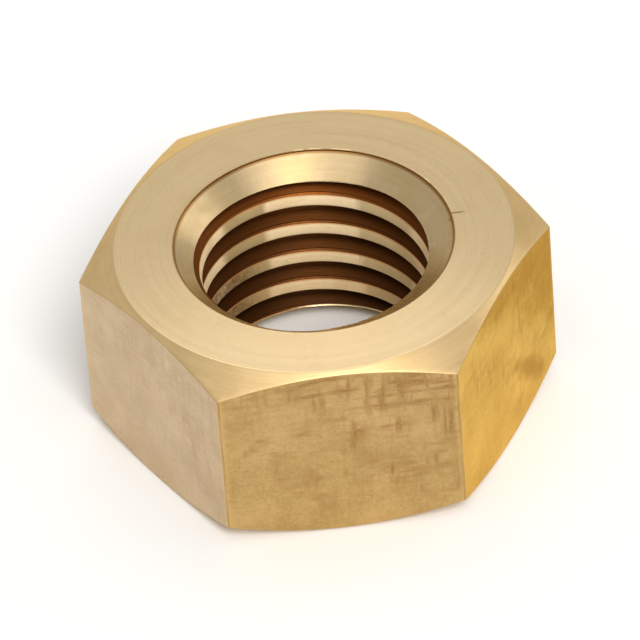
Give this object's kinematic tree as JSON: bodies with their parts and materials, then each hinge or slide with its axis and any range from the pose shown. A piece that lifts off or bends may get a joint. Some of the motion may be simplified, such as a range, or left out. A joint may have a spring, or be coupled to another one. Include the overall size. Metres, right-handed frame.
{
  "type": "hex nut",
  "caption": "Plain solid brass hex nut with a chamfer at both ends, a countersink at both ends of the bore and a right-hand internal thread.",
  "frame": {"origin": "centre of the lower bearing face, on the thread axis", "axes": "+Z along the thread axis towards the upper bearing face; corners of the hexagon on +X and -X, spanner flats facing +Y and -Y"},
  "size_m": [0.0254, 0.022, 0.011],
  "materials": {
    "brass": "satin turned and drawn brass, lightly tarnished"
  },
  "bodies": {
    "root": {"hex_nut_body": "brass"}
  },
  "joints": []
}
